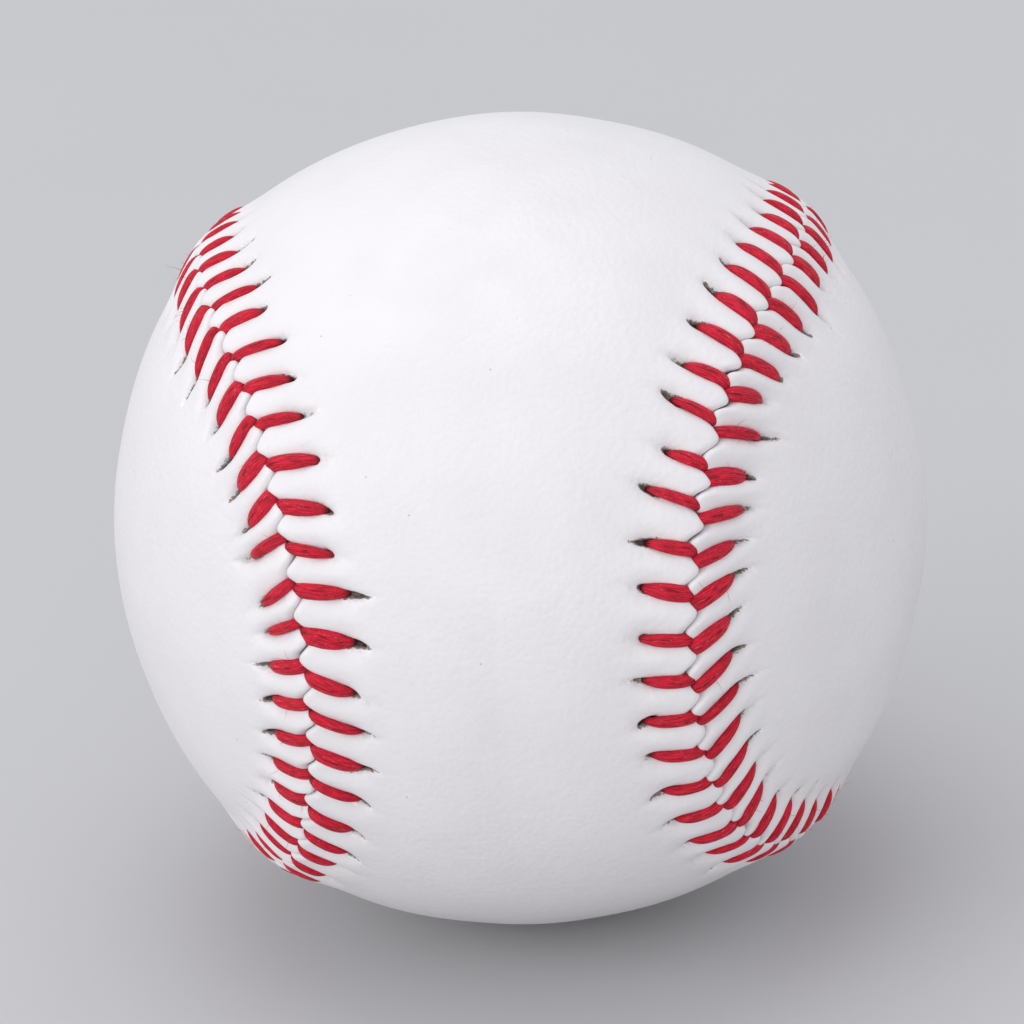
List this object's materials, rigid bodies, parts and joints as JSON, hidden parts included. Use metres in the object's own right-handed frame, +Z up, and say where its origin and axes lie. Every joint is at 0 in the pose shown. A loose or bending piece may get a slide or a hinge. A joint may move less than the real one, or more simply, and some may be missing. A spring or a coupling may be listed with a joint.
{
  "type": "baseball",
  "caption": "Hand-sewn baseball: cushioned cork centre, wound wool layers and a white leather cover of two figure-eight panels joined by a raised red seam.",
  "frame": {"origin": "middle of the ball", "axes": "+Z up through a round end of the front panel, -Y out of the waist of the front panel, X through the round ends of the back panel"},
  "size_m": [0.073, 0.073, 0.073],
  "materials": {
    "white_leather": "smooth full-grain leather, semi-matt",
    "red_thread": "waxed multi-strand sewing thread",
    "finish_cotton": "fine cotton finishing yarn",
    "grey_wool": "grey wool yarn",
    "white_wool": "white wool yarn",
    "red_rubber": "moulded rubber",
    "black_rubber": "moulded rubber",
    "cork": "bonded cork"
  },
  "bodies": {
    "root": {"cork_core": "cork", "black_rubber_cup_upper": "black_rubber", "black_rubber_cup_lower": "black_rubber", "red_rubber_washer": "red_rubber", "red_rubber_shell": "red_rubber", "grey_wool_winding_inner": "grey_wool", "white_wool_winding": "white_wool", "grey_wool_winding_outer": "grey_wool", "cotton_finish_winding": "finish_cotton", "cover_panel_front": "white_leather", "cover_panel_back": "white_leather", "sewing_thread": "red_thread"}
  },
  "joints": []
}
